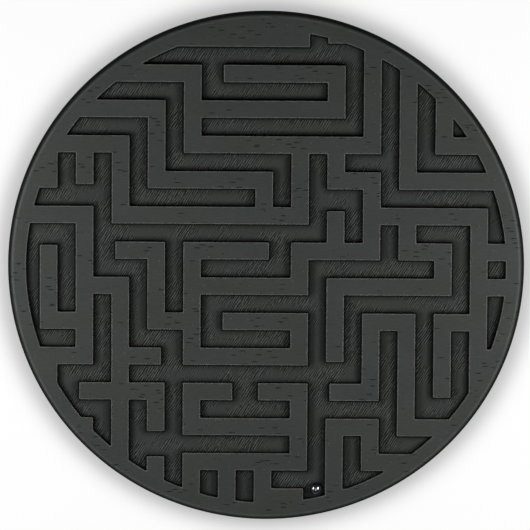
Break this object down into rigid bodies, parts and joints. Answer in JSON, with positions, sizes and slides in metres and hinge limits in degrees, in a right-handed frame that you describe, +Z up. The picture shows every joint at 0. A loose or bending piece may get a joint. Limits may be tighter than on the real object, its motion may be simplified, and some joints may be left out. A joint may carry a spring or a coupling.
{
  "type": "tilt maze game",
  "caption": "Round flat tilt maze: a dark stained sheet with square-cornered channels cut through it, on a base disc, with a steel ball.",
  "frame": {"origin": "centre of the base disc's underside", "axes": "+Z up out of the open side of the maze, +Y to the far side of the board as it is played, +X to the right"},
  "size_m": [0.2, 0.2, 0.0078],
  "materials": {
    "maze_wood": "black stained, satin, fine open grain running left to right",
    "base_wood": "black stained, satin, open pores running diagonally",
    "ball_steel": "dark blued steel, polished"
  },
  "bodies": {
    "board": {"base_disc": "base_wood", "maze_layer": "maze_wood"},
    "rolling_ball": {"ball": "ball_steel"}
  },
  "joints": [
    {"name": "ball_roll", "type": "slide", "parent": "board", "child": "rolling_ball", "axis": [0, 1, 0], "range_m": [0, 0.0876]}
  ]
}
